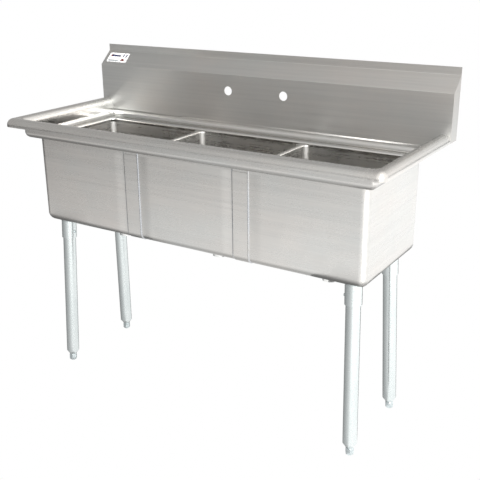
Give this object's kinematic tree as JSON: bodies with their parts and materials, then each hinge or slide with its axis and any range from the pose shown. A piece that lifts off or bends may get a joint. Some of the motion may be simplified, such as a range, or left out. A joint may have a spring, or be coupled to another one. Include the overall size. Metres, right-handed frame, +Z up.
{
  "type": "three compartment sink",
  "caption": "Free-standing stainless compartment sink with backsplash, rolled rims, deep square bowls, lift-out basket drains and tube legs on levelling feet.",
  "frame": {"origin": "on the floor under the middle of the whole sink", "axes": "+Z up, +Y towards the wall behind the backsplash, +X to the user's right"},
  "size_m": [1.27, 0.513, 1.04],
  "materials": {
    "brushed_stainless": "number 4 brushed stainless steel, satin",
    "polished_stainless": "bright rolled stainless steel",
    "galvanised_steel": "bright galvanised, semi-gloss",
    "zinc_plated_steel": "zinc plated, semi-gloss",
    "black_rubber": "matte rubber",
    "fibre_washer": "pressed fibre, matte",
    "label_film": "printed film with plain colour bars"
  },
  "bodies": {
    "root": {"deck_pan": "brushed_stainless", "backsplash": "brushed_stainless", "splash_end_cap_left": "brushed_stainless", "splash_end_cap_right": "brushed_stainless", "divider_left": "brushed_stainless", "divider_right": "brushed_stainless", "infill_strip_left": "brushed_stainless", "infill_strip_right": "brushed_stainless", "bowl_left": "brushed_stainless", "bowl_middle": "brushed_stainless", "bowl_right": "brushed_stainless", "blank_label": "label_film", "leg_plate_front_left": "galvanised_steel", "leg_socket_front_left": "galvanised_steel", "set_screw_front_left": "zinc_plated_steel", "leg_tube_front_left": "galvanised_steel", "foot_insert_front_left": "zinc_plated_steel", "leg_plate_front_right": "galvanised_steel", "leg_socket_front_right": "galvanised_steel", "set_screw_front_right": "zinc_plated_steel", "leg_tube_front_right": "galvanised_steel", "foot_insert_front_right": "zinc_plated_steel", "leg_plate_rear_left": "galvanised_steel", "leg_socket_rear_left": "galvanised_steel", "set_screw_rear_left": "zinc_plated_steel", "leg_tube_rear_left": "galvanised_steel", "foot_insert_rear_left": "zinc_plated_steel", "leg_plate_rear_right": "galvanised_steel", "leg_socket_rear_right": "galvanised_steel", "set_screw_rear_right": "zinc_plated_steel", "leg_tube_rear_right": "galvanised_steel", "foot_insert_rear_right": "zinc_plated_steel", "strainer_body_left": "polished_stainless", "drain_gasket_left": "black_rubber", "drain_washer_left": "fibre_washer", "drain_nut_left": "zinc_plated_steel", "strainer_body_middle": "polished_stainless", "drain_gasket_middle": "black_rubber", "drain_washer_middle": "fibre_washer", "drain_nut_middle": "zinc_plated_steel", "strainer_body_right": "polished_stainless", "drain_gasket_right": "black_rubber", "drain_washer_right": "fibre_washer", "drain_nut_right": "zinc_plated_steel"},
    "levelling_foot_front_left": {"levelling_foot_front_left": "zinc_plated_steel"},
    "levelling_foot_front_right": {"levelling_foot_front_right": "zinc_plated_steel"},
    "levelling_foot_rear_left": {"levelling_foot_rear_left": "zinc_plated_steel"},
    "levelling_foot_rear_right": {"levelling_foot_rear_right": "zinc_plated_steel"},
    "basket_left_body": {"basket_left": "polished_stainless", "basket_seal_left": "black_rubber", "basket_knob_left": "polished_stainless"},
    "basket_middle_body": {"basket_middle": "polished_stainless", "basket_seal_middle": "black_rubber", "basket_knob_middle": "polished_stainless"},
    "basket_right_body": {"basket_right": "polished_stainless", "basket_seal_right": "black_rubber", "basket_knob_right": "polished_stainless"}
  },
  "joints": [
    {"name": "levelling_front_left", "type": "slide", "parent": "root", "child": "levelling_foot_front_left", "axis": [-0.0354, -0.0399, -0.9986], "range_m": [0, 0.025]},
    {"name": "levelling_front_right", "type": "slide", "parent": "root", "child": "levelling_foot_front_right", "axis": [0.0354, -0.0399, -0.9986], "range_m": [0, 0.025]},
    {"name": "levelling_rear_left", "type": "slide", "parent": "root", "child": "levelling_foot_rear_left", "axis": [-0.0354, 0.0399, -0.9986], "range_m": [0, 0.025]},
    {"name": "levelling_rear_right", "type": "slide", "parent": "root", "child": "levelling_foot_rear_right", "axis": [0.0354, 0.0399, -0.9986], "range_m": [0, 0.025]},
    {"name": "basket_lift_left", "type": "slide", "parent": "root", "child": "basket_left_body", "axis": [0, 0, 1], "range_m": [0, 0.12]},
    {"name": "basket_lift_middle", "type": "slide", "parent": "root", "child": "basket_middle_body", "axis": [0, 0, 1], "range_m": [0, 0.12]},
    {"name": "basket_lift_right", "type": "slide", "parent": "root", "child": "basket_right_body", "axis": [0, 0, 1], "range_m": [0, 0.12]}
  ]
}
